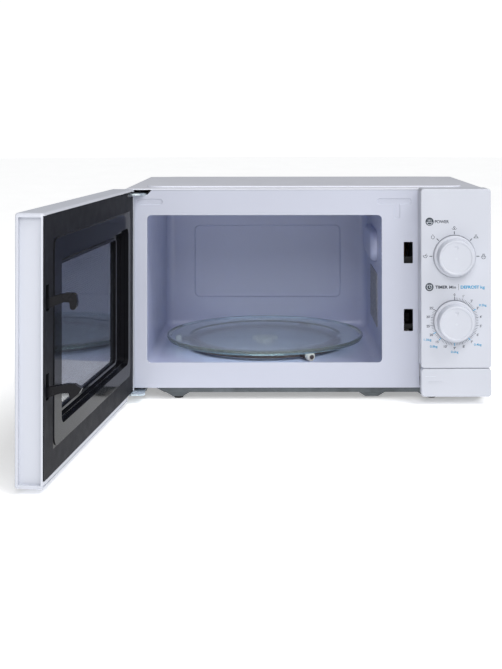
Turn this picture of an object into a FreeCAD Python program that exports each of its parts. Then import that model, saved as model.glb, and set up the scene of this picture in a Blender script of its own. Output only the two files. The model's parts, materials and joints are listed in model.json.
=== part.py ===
import FreeCAD, Part
import math
import os

# Microwave oven, drawn with its door closed, then the door pieces are swung open.
# While drawing: X = 0 at mid width, Y = 0 at the control panel's face (back is +Y),
# Z = 0 under the feet. Lengths are millimetres.

V = FreeCAD.Vector

# ---- driving dimensions: cabinet ----
body_width = 452.0
body_depth = 318.0          # panel face to the cabinet's back
cover_top = 261.5
cover_bottom = 12.0
cover_sheet = 1.0
sheet = 0.8                 # frame, cavity, base and rear sheet steel
frame_face = 29.5           # front plane of the front frame
frame_top = 259.7
frame_bottom = 14.8
base_bottom = 9.0
foot_x = 158.0
foot_front_y = 44.0
foot_rear_y = 285.0

# ---- driving dimensions: cavity and turntable ----
opening_left = -196.0
opening_right = 95.4
opening_bottom = 45.9
opening_top = 228.5
cavity_left = -197.5
cavity_right = 97.0
cavity_floor = 40.5
cavity_ceiling = 232.0
cavity_back = 301.0
tray_x = -51.5
tray_y = 166.0
tray_radius = 132.5
tray_base = 52.0            # underside of the glass
roller_radius = 5.6
roller_circle = 117.0

# ---- driving dimensions: control panel ----
panel_left = 140.4
panel_top = 262.8
panel_bottom = 10.2
panel_back = 29.0
panel_wall = 2.5
button_top = 44.4
button_depth = 12.0
button_travel = 4.0
knob_x = 181.2
power_z = 180.8
timer_z = 101.7
knob_radius = 25.2
knob_height = 18.0            # from the panel's face to the knob's front
well_radius = 25.95           # round well that each knob's skirt turns in
well_depth = 2.2

# ---- driving dimensions: door ----
door_right = 139.6
door_bottom = 6.0
door_top = 261.5
door_depth = 28.0
door_wall = 3.0
hinge_x = -219.6
hinge_y = 20.0
open_angle = 96.0           # how far the door stands open at rest
latch_lift = 6.0
hook_left = 125.0
hook_right = 130.6

fit_gap = 0.3
running_gap = 0.06          # radial clearance of a turning fit

half_width = body_width / 2
frame_back = frame_face + sheet
inner_half = half_width - cover_sheet
rear_sheet_y = body_depth - cover_sheet - fit_gap - sheet
bay_left = cavity_right + sheet


# ---- shape helpers ----
def block(x0, x1, y0, y1, z0, z1):
    return Part.makeBox(x1 - x0, y1 - y0, z1 - z0, V(x0, y0, z0))


def rod(x, y, z, radius, length, along):
    """Cylinder from a start point along the x, y or z axis."""
    direction = {"x": V(1, 0, 0), "y": V(0, 1, 0), "z": V(0, 0, 1)}[along]
    return Part.makeCylinder(radius, length, V(x, y, z), direction)


def edges_along(shape, axis):
    """Straight edges that run parallel to one axis."""
    index = "xyz".index(axis)
    chosen = []
    for edge in shape.Edges:
        ends = [vertex.Point for vertex in edge.Vertexes]
        if len(ends) != 2:
            continue
        span = ends[1] - ends[0]
        if abs(abs(span[index]) - edge.Length) < 1e-6:
            chosen.append(edge)
    return chosen


def edges_on(shape, axis, place):
    """Edges that lie wholly in the plane axis = place."""
    low = axis.upper() + "Min"
    high = axis.upper() + "Max"
    return [edge for edge in shape.Edges
            if abs(getattr(edge.BoundBox, low) - place) < 1e-4
            and abs(getattr(edge.BoundBox, high) - place) < 1e-4]


def rounded(x0, x1, y0, y1, z0, z1, radius, along="y"):
    """Block with the four edges parallel to one axis rounded."""
    shape = block(x0, x1, y0, y1, z0, z1)
    return shape.makeFillet(radius, edges_along(shape, along))


def prism_x(points, x0, x1):
    """Outline of (y, z) points extruded along X."""
    wire = Part.makePolygon([V(x0, y, z) for y, z in points + points[:1]])
    return Part.Face(wire).extrude(V(x1 - x0, 0, 0))


def prism_y(points, y0, y1):
    """Outline in X and Z, drawn out along Y."""
    wire = Part.makePolygon([V(x, y0, z) for x, z in points + points[:1]])
    return Part.Face(wire).extrude(V(0, y1 - y0, 0))


def prism_z(points, z0, z1):
    """Outline of (x, y) points extruded along Z."""
    wire = Part.makePolygon([V(x, y, z0) for x, y in points + points[:1]])
    return Part.Face(wire).extrude(V(0, 0, z1 - z0))


def turned(profile, centre, axis):
    """Closed (radius, height) profile spun about an axis through centre."""
    wire = Part.makePolygon([V(r, 0, h) for r, h in profile + profile[:1]])
    solid = Part.Face(wire).revolve(V(0, 0, 0), V(0, 0, 1), 360)
    turn = FreeCAD.Rotation(V(0, 0, 1), axis)
    solid.Placement = FreeCAD.Placement(centre, turn)
    return solid


def coil(x, y, z, radius, length, turns, wire_radius, along):
    """Helical spring starting at a point."""
    path = Part.makeHelix(length / turns, length, radius)
    section = Part.Wire(Part.makeCircle(wire_radius, V(radius, 0, 0), V(0, 1, 0)))
    spring = Part.Wire(path.Edges).makePipeShell([section], True, True)
    if along == "y":
        spring.rotate(V(0, 0, 0), V(1, 0, 0), -90)
    spring.translate(V(x, y, z))
    return spring


def group(solids):
    return Part.makeCompound(solids)


def fuse(first, *others):
    return first.fuse(list(others)).removeSplitter()


def cut(shape, *tools):
    return shape.cut(list(tools))


# ---- fasteners ----
screw_head_radius = 3.4
screw_head_height = 2.0
screw_shank_radius = 1.7


def screw(x, y, z, length, facing):
    """Pan-head screw whose head sits on the point and faces -Y, +Y, -Z or +Z."""
    sign = -1 if facing[0] == "-" else 1
    along = facing[1]
    direction = V(0, sign, 0) if along == "y" else V(0, 0, sign)
    head = Part.makeCylinder(screw_head_radius, screw_head_height, V(x, y, z), direction)
    head = head.makeFillet(0.7, [edge for edge in edges_on(
        head, along, (y if along == "y" else z) + sign * screw_head_height)])
    shank = Part.makeCylinder(screw_shank_radius, length, V(x, y, z), direction * -1)
    arms = [Part.makeBox(4.2, 0.9, 1.0), Part.makeBox(0.9, 4.2, 1.0)]
    arms[0].translate(V(-2.1, -0.45, screw_head_height - 0.9))
    arms[1].translate(V(-0.45, -2.1, screw_head_height - 0.9))
    for arm in arms:
        arm.Placement = FreeCAD.Placement(
            V(x, y, z), FreeCAD.Rotation(V(0, 0, 1), direction)).multiply(arm.Placement)
    return cut(fuse(head, shank), *arms)


def screw_hole(x, y, z, length, along):
    return rod(x, y, z, screw_shank_radius + 0.1, length, along)


rear_screw_places = [(x, z) for x in (-208, 0, 208) for z in (22, 250)]


def through_flange(x, z):
    """Whether a rear screw goes through the cover's rear flange."""
    return abs(x) > 100 or z > 100


base_screw_places = [(126, 140), (126, 200), (206, 140), (206, 200)]
hinge_screw_places = [(-204, 42), (-204, 54)]
foot_places = [(sx * foot_x, y) for sx in (-1, 1) for y in (foot_front_y, foot_rear_y)]
cord_hole = (196.0, 40.0)
fan_centre = (166.0, 176.0)
magnetron_axis = (165.0, 180.0)


# ---- cabinet ----
emboss_half = 202.0
emboss_front = 62.0
emboss_back = 294.0
emboss_rise = 1.5


def side_vents(x0, x1, y0, count, z0, rows):
    """Upright ventilation slots through one side of the cover."""
    slots = []
    for row in range(rows):
        for step in range(count):
            y = y0 + 8.0 * step
            z = z0 + 30.0 * row
            slots.append(rounded(x0, x1, y, y + 3.0, z, z + 22.0, 1.4, "x"))
    return slots


def make_outer_cover():
    corner = 4.0
    lip = 0.7                   # rounding of the folded front edge
    bond = 0.8                  # hem and flange are folded against the skin this far in
    hem_inset = 1.4             # hem's inner face, from the cover's outside

    def wrap(inset, y0, y1):
        shape = block(-half_width + inset, half_width - inset, y0, y1,
                      cover_bottom - (5 if inset else 0), cover_top - inset)
        tops = [edge for edge in edges_along(shape, "y") if edge.BoundBox.ZMin > 100]
        return shape.makeFillet(corner - inset, tops)

    front, back = frame_face, body_depth
    hem_end = front + 10
    outside = wrap(0, front, back)
    outside = outside.makeFillet(lip, edges_on(outside, "y", front))
    skin = cut(outside, wrap(cover_sheet, front - 1, back + 1))
    whole = block(-half_width, half_width, front, back, cover_bottom, cover_top)
    hem = cut(wrap(bond, front, hem_end).common(whole),
              wrap(hem_inset, front - 1, hem_end + 1))
    flange = cut(wrap(bond, back - cover_sheet, back).common(whole),
                 rounded(-half_width + 14, half_width - 14, back - 3, back + 1,
                         cover_bottom - 5, cover_top - 14, corner))
    raised = rounded(-emboss_half, emboss_half, emboss_front, emboss_back,
                     cover_top - cover_sheet / 2, cover_top + emboss_rise, 22.0, "z")
    raised = raised.makeFillet(1.1, edges_on(raised, "z", cover_top + emboss_rise))
    pocket = rounded(-emboss_half + 1, emboss_half - 1, emboss_front + 1, emboss_back - 1,
                     cover_top - 3, cover_top + emboss_rise - cover_sheet, 21.0, "z")
    cover = cut(fuse(skin, hem, flange, raised), pocket)
    vents = side_vents(inner_half - 2, half_width + 1, 70.0, 10, 196.0, 1)
    vents += side_vents(inner_half - 2, half_width + 1, 214.0, 10, 40.0, 2)
    vents += side_vents(-half_width - 1, -inner_half + 2, 222.0, 9, 40.0, 1)
    holes = [screw_hole(x, back - 5, z, 10, "y") for x, z in rear_screw_places
             if through_flange(x, z)]
    return cut(cover, *vents, *holes)


def make_rear_panel():
    y0, y1 = rear_sheet_y, rear_sheet_y + sheet
    plate = rounded(-inner_half + 1, inner_half - 1, y0, y1, 15.6, cover_top - 3, 3.0)
    tools = [screw_hole(x, y0 - 2, z, 6, "y") for x, z in rear_screw_places]
    tools.append(rod(cord_hole[0], y0 - 1, cord_hole[1], 7.1, 4, "y"))
    vent_radius = 46.0
    for step in range(-6, 7):
        dz = 7.0 * step
        half_slot = math.sqrt(max(vent_radius ** 2 - dz ** 2, 0.0))
        if half_slot < 12:
            continue
        z = fan_centre[1] + dz
        for x0, x1 in ((-half_slot, -2.0), (2.0, half_slot)):
            tools.append(rounded(fan_centre[0] + x0, fan_centre[0] + x1, y0 - 1, y1 + 1,
                                 z - 1.6, z + 1.6, 1.5))
    for row in range(2):
        for step in range(12):
            x = -180 + 12.0 * step
            z = 196.0 + 26.0 * row
            tools.append(rounded(x, x + 3.2, y0 - 1, y1 + 1, z, z + 18, 1.5))
    return cut(plate, *tools)


def make_base_plate():
    x0, x1 = -inner_half + 1.3, inner_half - 1.3
    y0, y1 = frame_back + 0.7, rear_sheet_y - 0.3
    z0, z1 = base_bottom, base_bottom + sheet
    rim_top = 14.4
    tray = cut(rounded(x0, x1, y0, y1, z0, rim_top, 3.0, "z"),
               rounded(x0 + sheet, x1 - sheet, y0 + sheet, y1 - sheet, z1, rim_top + 1, 2.2, "z"))
    low = 2.6
    bosses = []
    hollows = []
    spans = [(-foot_x - 16.6, -foot_x + 16, y0 + 1, y0 + 32), (foot_x - 20, foot_x + 24, y0 + 1, y0 + 32),
             (65, 101, y0 + 1, y0 + 120), (-foot_x - 27, -foot_x + 16, y1 - 44, y1 - 8),
             (foot_x - 20, foot_x + 24, y1 - 44, y1 - 8)]
    for a, b, c, d in spans:
        bosses.append(Part.makeLoft([
            Part.makePolygon([V(a, c, z1), V(b, c, z1), V(b, d, z1), V(a, d, z1), V(a, c, z1)]),
            Part.makePolygon([V(a + 10, c + 5, low), V(b - 10, c + 5, low),
                              V(b - 10, d - 5, low), V(a + 10, d - 5, low),
                              V(a + 10, c + 5, low)])], True))
        a, b, c, d = a + 1, b - 1, c + 1, d - 1
        top, bottom = z1 + 0.5, low + sheet
        hollows.append(Part.makeLoft([
            Part.makePolygon([V(a, c, top), V(b, c, top), V(b, d, top), V(a, d, top),
                              V(a, c, top)]),
            Part.makePolygon([V(a + 10, c + 5, bottom), V(b - 10, c + 5, bottom),
                              V(b - 10, d - 5, bottom), V(a + 10, d - 5, bottom),
                              V(a + 10, c + 5, bottom)])], True))
    tools = list(hollows)
    tools += [screw_hole(x, y, z0 - 1, 4, "z") for x, y in base_screw_places]
    tools += [rod(x, y, 0, 2.6, 14, "z") for x, y in foot_places]
    tools.append(prism_y([(-216.5, z0 - 1), (-172.7, z0 - 1), (-186.5, rim_top + 1),
                          (-216.5, rim_top + 1)], y0 - 1, 35.5))
    tools.append(block(-198.0, -175.0, 35.0, 54.0, z0 - 1, z1 + 1))
    tools += [screw_hole(x, y, z0 - 1, 4, "z") for x, y in hinge_screw_places]
    for step in range(8):
        y = 150 + 10.0 * step
        tools.append(rounded(-150, -110, y, y + 3, z0 - 1, z1 + 1, 1.4, "z"))
    return cut(fuse(tray, *bosses), *tools)


def make_rubber_foot(x, y):
    pad = turned([(0, 0), (5.6, 0), (6.4, 2.3), (0, 2.3)], V(x, y, 0), V(0, 0, 1))
    stem = rod(x, y, 2.3, 2.5, 2.2, "z")
    collar = rod(x, y, 2.6 + sheet, 3.6, 1.6, "z")
    return fuse(pad, stem, collar)


press_depth = 0.9
pressed_marks = [(-210, -177, 241.6, 249.0), (89.9, 132.5, 241.7, 249.4),
                 (110.6, 118.3, 223.8, 246.0)]     # x and z spans of the frame's pressed bars


def pressed_bars(grow, y0, y1):
    """Round-cornered bars pressed back into the frame's face, as one solid for each."""
    bars = []
    for x0, x1, z0, z1 in pressed_marks:
        corner = 0.45 * min(x1 - x0, z1 - z0)
        bars.append(rounded(x0 - grow, x1 + grow, y0, y1, z0 - grow, z1 + grow, corner))
    return bars


def make_front_frame():
    x0, x1 = -half_width + 2.4, half_width - 2.4
    plate = cut(rounded(x0, x1, frame_face, frame_back + 8, frame_bottom, frame_top, 3.0),
                rounded(x0 + sheet, x1 - sheet, frame_back, frame_back + 9,
                        frame_bottom + sheet, frame_top - sheet, 2.2),
                rounded(opening_left, opening_right, frame_face - 1, frame_back + 1,
                        opening_bottom, opening_top, 5.0))
    mouth = [edge for edge in edges_on(plate, "y", frame_face)
             if edge.BoundBox.XMin > opening_left - 0.1 and edge.BoundBox.XMax < opening_right + 0.1]
    plate = plate.makeFillet(0.6, mouth)
    backs = pressed_bars(sheet, frame_face + sheet / 2, frame_back + press_depth)
    hollows = []
    for bar in pressed_bars(0, frame_face - 1, frame_face + press_depth):
        hollows.append(bar.makeFillet(0.8, edges_on(bar, "y", frame_face + press_depth)))
    tools = []
    for z0, z1 in ((168.6, 195.2), (84.6, 112.0)):
        tools.append(rounded(122.7, 134.0, frame_face - 2, frame_back + 1, z0, z1, 1.0))
    tools.append(prism_y([(-216.5, 252.8), (-197.0, 252.8), (-189.8, frame_top + 1),
                          (-216.5, frame_top + 1)], frame_face - 1, frame_back + 10))
    tools.append(rounded(150, 219, frame_face - 1, frame_back + 1, 56, 246, 4.0))
    tools.append(block(142, 153, frame_face - 1, frame_back + 1, 17, 44))
    return cut(fuse(plate, *backs), *hollows, *tools)


# ---- cavity ----
dome = (114.0, 244.0, 158.8, 200.5)        # y0, y1, z0, z1 of the bulge in the right wall
guide = (110.0, 248.0, 76.0, 206.0)        # waveguide box outside the right wall
recess = (-157.0, 58.5, 85.0, 191.5)       # x0, x1, z0, z1 of the back wall's pressed panel
recess_depth = 3.0


def make_cavity_shell():
    def can(grow, y0):
        shape = block(cavity_left - grow, cavity_right + grow, y0, cavity_back + grow,
                      cavity_floor - grow, cavity_ceiling + grow)
        back = cavity_back + grow
        chosen = [edge for edge in edges_along(shape, "y")] + edges_on(shape, "y", back)
        return shape.makeFillet(11.0 + grow, chosen)

    shell = cut(can(sheet, frame_back), can(0, frame_back - 1))
    y0, y1, z0, z1 = dome
    bulge = rounded(cavity_right - 9.0, cavity_right + sheet, y0, y1, z0, z1, 20.0, "x")
    bulge = bulge.makeFillet(8.0, edges_on(bulge, "x", cavity_right - 9.0))
    hollow = rounded(cavity_right - 8.2, cavity_right + 2, y0 + 0.9, y1 - 0.9,
                     z0 + 0.9, z1 - 0.9, 19.1, "x")
    hollow = hollow.makeFillet(7.2, edges_on(hollow, "x", cavity_right - 8.2))
    x0, x1, low, high = recess
    deep = cavity_back + recess_depth
    pan = rounded(x0 - sheet, x1 + sheet, cavity_back, deep + sheet, low - sheet, high + sheet, 8.8)
    pan = pan.makeFillet(recess_depth, edges_on(pan, "y", deep + sheet))
    inside = rounded(x0, x1, cavity_back - 1, deep, low, high, 8.0)
    inside = inside.makeFillet(recess_depth - 0.4, edges_on(inside, "y", deep))
    tools = [hollow, inside]
    tools.append(rod(tray_x, tray_y, cavity_floor - 2, 6.0, 4, "z"))
    tools.append(rounded(cavity_right - 1, cavity_right + 2, 122, 214, 84, 134, 6.0, "x"))
    for row in range(10):
        for column in range(5):
            y = 42 + 5.2 * column
            z = 162 + 5.2 * row
            tools.append(rod(cavity_right - 1, y, z, 1.5, 3, "x"))
    return cut(fuse(shell, bulge, pan), *tools)


def make_waveguide():
    y0, y1, z0, z1 = guide
    x0, x1 = bay_left, bay_left + 22
    box = cut(rounded(x0, x1, y0, y1, z0, z1, 5.0, "x"),
              rounded(x0 - 1, x1 - sheet, y0 + sheet, y1 - sheet, z0 + sheet, z1 - sheet, 4.2, "x"))
    return cut(box, rod(x1 - 2, *magnetron_axis, 13.0, 4, "x"))


def make_waveguide_cover():
    plate = rounded(cavity_right - 0.7, cavity_right, 114, 223.5, 74, 144, 2.0, "x")
    slots = [block(cavity_right - 2, cavity_right + 1, 216, 220, z, z + 12) for z in (98, 122)]
    return cut(plate, *slots)


def make_cavity_lamp():
    x, z = bay_left + 11.5, 188.0
    bulb = turned([(0, 0), (4.0, 0.8), (7.2, 3.5), (8.4, 8.0), (7.6, 13.0), (5.0, 18.0),
                   (5.0, 26.0), (0, 26.0)], V(x, 50, z), V(0, 1, 0))
    return bulb


def make_lamp_holder():
    x, z = bay_left + 11.5, 188.0
    socket = rod(x, 70.0, z, 8.6, 18.0, "y")
    well = rod(x, 69.0, z, 5.2, 7.1, "y")
    bracket = block(bay_left, bay_left + 1.2, 64, 96, z - 14, z + 14)
    arm = block(bay_left + 1.2, x, 82, 86, z - 5, z + 5)
    tabs = [block(bay_left + 4, bay_left + 18, 87.9, 94, z + dz, z + dz + 1) for dz in (-4, 3)]
    return cut(fuse(socket, bracket, arm, *tabs), well)


# ---- turntable ----
def make_turntable_motor():
    can = rod(tray_x, tray_y, 17.0, 24.5, 14.0, "z")
    can = can.makeFillet(1.5, edges_on(can, "z", 17.0))
    boss = rod(tray_x, tray_y, 31.0, 10.0, 6.0, "z")
    ears = block(tray_x - 32, tray_x + 32, tray_y - 6, tray_y + 6, 29.6, 31.0)
    ear_holes = [rod(tray_x + dx, tray_y, 29, 2.0, 4, "z") for dx in (-28.5, 28.5)]
    posts = [cut(rod(tray_x + dx, tray_y, 31.0, 3.4, cavity_floor - sheet - 31.0, "z"),
                 rod(tray_x + dx, tray_y, 30.0, 1.8, 6.0, "z")) for dx in (-28.5, 28.5)]
    bore = rod(tray_x, tray_y, 25.0, 3.5 + running_gap, 16.0, "z")
    return cut(fuse(can, boss, ears, *posts), *ear_holes, bore)


def make_drive_coupler():
    shaft = rod(tray_x, tray_y, 25.5, 3.5, 17.0, "z")
    hub = turned([(0, 42.0), (11.0, 42.0), (11.0, 46.5), (9.0, 50.5), (0, 50.5)],
                 V(tray_x, tray_y, 0), V(0, 0, 1))
    lobes = []
    for step in range(3):
        lobe = rounded(0, 19.0, -4.5, 4.5, 44.5, 49.5, 3.5, "z")
        lobe.rotate(V(0, 0, 0), V(0, 0, 1), 30 + 120 * step)
        lobe.translate(V(tray_x, tray_y, 0))
        lobes.append(lobe)
    return fuse(shaft, hub, *lobes)


def make_glass_tray():
    r = tray_radius
    z = tray_base
    wall = 4.2
    profile = [(0, z), (r - 36, z), (r - 34, z + 0.4), (r - 5.0, z + 0.4), (r - 1.2, z + 1.0),
               (r, z + 4.0), (r - 0.6, z + 6.4), (r - 2.4, z + 6.6), (r - 6.4, z + wall + 0.6),
               (r - 30, z + wall + 0.4), (r - 38, z + wall - 0.5), (0, z + wall - 0.5)]
    plate = turned(profile, V(tray_x, tray_y, 0), V(0, 0, 1))
    stops = []
    for step in range(3):
        for side in (-1, 1):
            pin = rod(14.0, side * 7.2, z - 1.6, 1.9, 2.2, "z")
            pin.rotate(V(0, 0, 0), V(0, 0, 1), 30 + 120 * step)
            pin.translate(V(tray_x, tray_y, 0))
            stops.append(pin)
    return fuse(plate, *stops)


ring_inner = 92.0
ring_outer = 101.0
roller_width = 7.0
roller_bore = 2.0
axle_radius = roller_bore - running_gap


def roller_height():
    return cavity_floor + roller_radius + 0.1


def around_tray(shape, step):
    shape.rotate(V(0, 0, 0), V(0, 0, 1), -60 + 120 * step)
    shape.translate(V(tray_x, tray_y, 0))
    return shape


def make_roller_ring():
    zc = roller_height()
    band = cut(rod(tray_x, tray_y, zc - 2.2, ring_outer, 4.4, "z"),
               rod(tray_x, tray_y, zc - 3, ring_inner, 6, "z"))
    lip = cut(rod(tray_x, tray_y, zc - 2.2, ring_outer + 2.5, 1.4, "z"),
              rod(tray_x, tray_y, zc - 3, ring_outer - 1, 6, "z"))
    parts = [lip]
    for step in range(3):
        arm = block(ring_outer - 2, roller_circle - roller_width / 2 - 1.2, -6, 6, zc - 2.4, zc + 2.4)
        axle = rod(roller_circle - roller_width / 2 - 2, 0, zc, axle_radius, roller_width + 3.2, "x")
        head = rod(roller_circle + roller_width / 2 + 0.4, 0, zc, 2.8, 1.0, "x")
        parts += [around_tray(piece, step) for piece in (arm, axle, head)]
    return fuse(band, *parts)


def make_roller(step):
    zc = roller_height()
    x0 = roller_circle - roller_width / 2
    wheel = rod(x0, 0, zc, roller_radius, roller_width, "x")
    wheel = wheel.makeFillet(0.8, edges_on(wheel, "x", x0) + edges_on(wheel, "x", x0 + roller_width))
    bore = rod(x0 - 1, 0, zc, roller_bore, roller_width + 2, "x")
    return around_tray(cut(wheel, bore), step)


# ---- component bay ----
transformer = (128.0, 204.0, 135.0, 205.0, base_bottom + sheet, 78.0)


def make_transformer_core():
    x0, x1, y0, y1, z0, z1 = transformer
    core = block(x0, x1, y0, y1, z0 + 2, z1)
    foot = block(x0 - 6, x1 + 6, y0, y1, z0, z0 + 2)
    windows = [block(x, x + 14, y0 - 1, y1 + 1, z0 + 14, z1 - 12) for x in (x0 + 12, x1 - 26)]
    holes = [screw_hole(x, y, z0 - 1, 4, "z") for x, y in base_screw_places]
    return cut(fuse(core, foot), *windows, *holes)


def make_winding(z0, z1, spread):
    x0, x1, y0, y1 = transformer[:4]
    leg0, leg1 = x0 + 26, x1 - 26
    outer = rounded(x0 + 12.4, x1 - 12.4, y0 - spread, y1 + spread, z0, z1, 6.0, "z")
    return cut(outer, block(leg0 - 0.3, leg1 + 0.3, y0 - 0.3, y1 + 0.3, z0 - 1, z1 + 1))


capacitor = (132.0, 212.0, 236.0, 268.0, 14.0, 66.0)


def make_capacitor():
    x0, x1, y0, y1, z0, z1 = capacitor
    can = rounded(x0, x1, y0, y1, z0, z1, 15.0, "x")
    tabs = [block(x0 - 9, x0, y0 + 13, y0 + 19, z, z + 1) for z in (z0 + 14, z0 + 36)]
    caps = [block(x0 - 3, x0, y0 + 8, y0 + 24, z - 5, z + 6) for z in (z0 + 14, z0 + 36)]
    return fuse(can, *tabs, *caps)


def make_capacitor_strap():
    x0, x1, y0, y1, z0, z1 = capacitor
    xm = (x0 + x1) / 2
    low = base_bottom + sheet
    band = cut(rounded(xm - 8, xm + 8, y0 - 0.9, y1 + 0.9, low, z1 + 0.9, 15.0, "x"),
               rounded(xm - 9, xm + 9, y0 - 0.05, y1 + 0.05, z0 - 0.05, z1 + 0.05, 14.6, "x"))
    foot = block(xm - 8, xm + 8, (y0 + y1) / 2, y1 + 16, low, low + 0.9)
    return cut(fuse(band, foot), screw_hole(xm, y1 + 10, low - 1, 4, "z"))


def make_diode():
    x0, _, y0, _, z0, _ = capacitor
    x = x0 - 14.5
    body = rod(x, y0 + 16, z0 + 12, 3.5, 22, "z")
    leads = [rod(x, y0 + 16, z0 + 2, 0.8, 10.5, "z"), rod(x, y0 + 16, z0 + 33, 0.8, 8, "z")]
    return fuse(body, *leads)


def make_magnetron_yoke():
    y, z = magnetron_axis
    x0, x1 = bay_left + 22, bay_left + 72
    box = cut(block(x0, x1, y - 45, y + 45, z - 38, z + 38),
              block(x0 + 1.6, x1 - 1.6, y - 46, y + 46, z - 36.4, z + 36.4))
    return cut(box, rod(x0 - 1, y, z, 12.6, 4, "x"), rod(x1 - 3, y, z, 12.0, 5, "x"))


def make_magnetron_anode():
    y, z = magnetron_axis
    x0 = bay_left + 23.8
    core = rod(x0, y, z, 20.0, 46.0, "x")
    base = rod(x0 - 12, y, z, 11.0, 12.2, "x")
    ceramic = rod(x0 - 22, y, z, 6.5, 10.2, "x")
    cap = rod(x0 - 30, y, z, 7.5, 8.2, "x")
    cap = cap.makeFillet(2.0, edges_on(cap, "x", x0 - 30))
    return fuse(core, base, ceramic, cap)


def make_magnetron_fins():
    y, z = magnetron_axis
    fins = []
    for step in range(7):
        x = bay_left + 28.0 + 6.0 * step
        plate = block(x, x + 0.7, y - 42, y + 42, z - 36.2, z + 36.2)
        fins.append(cut(plate, rod(x - 1, y, z, 20.05, 4, "x")))
    return group(fins)


def make_magnetron_filter():
    y, z = magnetron_axis
    x0 = bay_left + 72
    box = cut(rounded(x0, x0 + 30, y - 30, y + 30, z - 30, z + 30, 2.0, "x"),
              rounded(x0 - 1, x0 + 29.2, y - 29.2, y + 29.2, z - 29.2, z + 29.2, 1.4, "x"))
    plug = rounded(x0 + 8, x0 + 22, y - 9, y + 9, z - 37, z - 28, 1.5, "z")
    return fuse(box, plug)


def make_fan_shroud():
    x, z = fan_centre
    y0 = 284.0
    plate = rounded(x - 58, x + 56, y0, y0 + 1.6, z - 57, z + 57, 6.0)
    ring = cut(rod(x, y0, z, 55.0, rear_sheet_y - y0 - 0.2, "y"),
               rod(x, y0 - 1, z, 53.0, 40, "y"))
    shroud = cut(fuse(plate, ring), rod(x, y0 - 1, z, 53.0, 6, "y"))
    posts = [rod(x + dx, y0 - 30, z, 3.0, 30.0, "y") for dx in (-54.5, 53.0)]
    return fuse(shroud, *posts)


def make_fan_motor():
    x, z = fan_centre
    y0, y1 = 246.0, 264.0
    stator = rounded(x - 30, x + 30, y0, y1, z - 26, z + 26, 5.0)
    bar = block(x - 60, x + 58, y0 + 6, y0 + 8, z - 5, z + 5)
    back = block(x - 13, x + 13, y1, y1 + 4, z - 22, z + 22)
    bore = rod(x, y0 - 1, z, 13.0, y1 - y0 + 1, "y")
    front = block(x - 13, x + 13, y0 - 4, y0, z - 22, z + 22)
    shaft_way = rod(x, y0 - 8, z, 2.0 + running_gap, 40, "y")
    return cut(fuse(cut(fuse(stator, bar), bore), back, front), shaft_way)


def make_fan_rotor():
    x, z = fan_centre
    return fuse(rod(x, 248.0, z, 12.7, 14.0, "y"), rod(x, 240.0, z, 2.0, 62.0, "y"))


def make_fan_blade():
    x, z = fan_centre
    hub = cut(rod(x, 288.0, z, 11.0, 14.0, "y"), rod(x, 287.0, z, 2.0, 16.0, "y"))
    blades = []
    for step in range(5):
        blade = block(8.0, 50.0, -13.0, 13.0, -0.8, 0.8)
        blade = blade.makeFillet(8.0, [edge for edge in edges_along(blade, "z")
                                       if edge.BoundBox.XMin > 40])
        blade.rotate(V(0, 0, 0), V(1, 0, 0), 27)
        blade.rotate(V(0, 0, 0), V(0, 0, 1), 72 * step)
        blade.rotate(V(0, 0, 0), V(1, 0, 0), -90)
        blade.translate(V(x, 295.0, z))
        blades.append(cut(blade, rod(x, 280.0, z, 9.0, 30.0, "y")))
    return fuse(hub, *blades)


def make_fuse_board():
    """Line fuse and filter board on four legs above the cavity."""
    x0, y0 = 38.0, 244.0
    roof = cavity_ceiling + sheet
    z0 = roof + 3.4
    board = block(x0, x0 + 52, y0, y0 + 44, z0, z0 + 1.6)
    legs = [rod(x0 + dx, y0 + dy, roof, 2.0, 3.4, "z") for dx in (4, 48) for dy in (4, 40)]
    fuse_body = rod(x0 + 8, y0 + 12, z0 + 5.6, 3.2, 26, "x")
    clips = [block(x, x + 5, y0 + 8, y0 + 16, z0 + 1.6, z0 + 6) for x in (x0 + 9, x0 + 27)]
    choke = rounded(x0 + 10, x0 + 32, y0 + 22, y0 + 38, z0 + 1.6, z0 + 12, 3.0, "z")
    film_cap = block(x0 + 37, x0 + 48, y0 + 20, y0 + 38, z0 + 1.6, z0 + 11)
    return fuse(board, *legs, fuse_body, *clips, choke, film_cap)


def make_thermal_cutout():
    y, z = 262.0, 150.0
    disc = rod(bay_left + 0.9, y, z, 7.5, 7.0, "x")
    flange = block(bay_left, bay_left + 0.9, y - 11, y + 11, z - 7.5, z + 7.5)
    tabs = [block(bay_left + 7.9, bay_left + 15, y - 1, y + 1, z + dz, z + dz + 1)
            for dz in (-5, 4)]
    return fuse(disc, flange, *tabs)


def make_cord_bushing():
    x, z = cord_hole
    flange = rod(x, rear_sheet_y + sheet, z, 9.5, 2.6, "y")
    flange = flange.makeFillet(0.9, edges_on(flange, "y", rear_sheet_y + sheet + 2.6))
    neck = rod(x, rear_sheet_y - 6, z, 7.0, 6 + sheet, "y")
    barb = rod(x, rear_sheet_y - 5, z, 8.6, 4.8, "y")
    return cut(fuse(flange, neck, barb), rod(x, rear_sheet_y - 10, z, 3.7, 20, "y"))


# ---- control panel ----
plunger_x = (144.4, 150.4)
plunger_tip = 44.0
plunger_top = 38.0
plunger_rise = 18.0
ramp = 1.5                                  # lifter rise per millimetre of push


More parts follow.
